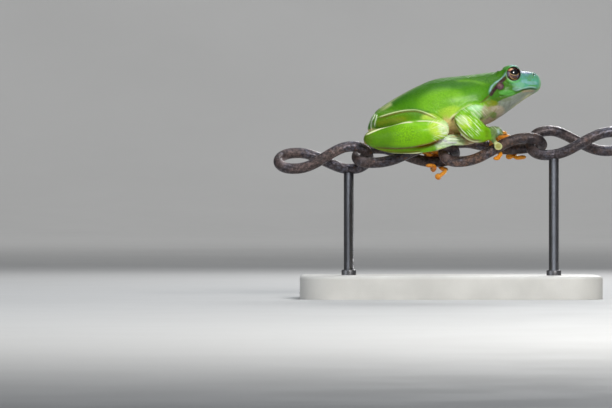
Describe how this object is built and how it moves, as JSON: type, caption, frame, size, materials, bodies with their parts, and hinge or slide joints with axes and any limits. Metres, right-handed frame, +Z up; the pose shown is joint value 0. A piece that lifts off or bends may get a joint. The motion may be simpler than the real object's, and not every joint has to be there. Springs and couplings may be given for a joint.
{
  "type": "mediterranean tree frog on a chain perch",
  "caption": "Still, life-size mediterranean tree frog crouching on a short cut of twisted chain, held by thin rods above a flat display base.",
  "frame": {"origin": "middle of the display base's underside", "axes": "+X along the chain towards the frog's snout, +Y towards the frog's left side, +Z up"},
  "size_m": [0.0939, 0.044, 0.0608],
  "materials": {
    "green_skin": "smooth moist skin, satin",
    "limb_skin": "smooth moist skin, satin",
    "digit_skin": "smooth moist skin, satin",
    "eye": "polished, wet",
    "chain_steel": "dark, lightly rusted steel wire",
    "stand_base": "matt",
    "stand_rod": "matt black"
  },
  "bodies": {
    "root": {"head": "green_skin", "torso": "green_skin", "eye_right": "eye", "eye_left": "eye", "upper_arm_right": "limb_skin", "upper_arm_left": "limb_skin", "forearm_right": "limb_skin", "forearm_left": "limb_skin", "hand_right": "digit_skin", "hand_left": "digit_skin", "thigh_right": "limb_skin", "thigh_left": "limb_skin", "shank_right": "limb_skin", "shank_left": "limb_skin", "tarsus_right": "limb_skin", "tarsus_left": "limb_skin", "foot_right": "digit_skin", "foot_left": "digit_skin", "chain_link_1": "chain_steel", "chain_link_2": "chain_steel", "chain_link_3": "chain_steel", "chain_link_4": "chain_steel", "stand_base": "stand_base", "stand_rod_left": "stand_rod", "stand_rod_right": "stand_rod"}
  },
  "joints": []
}
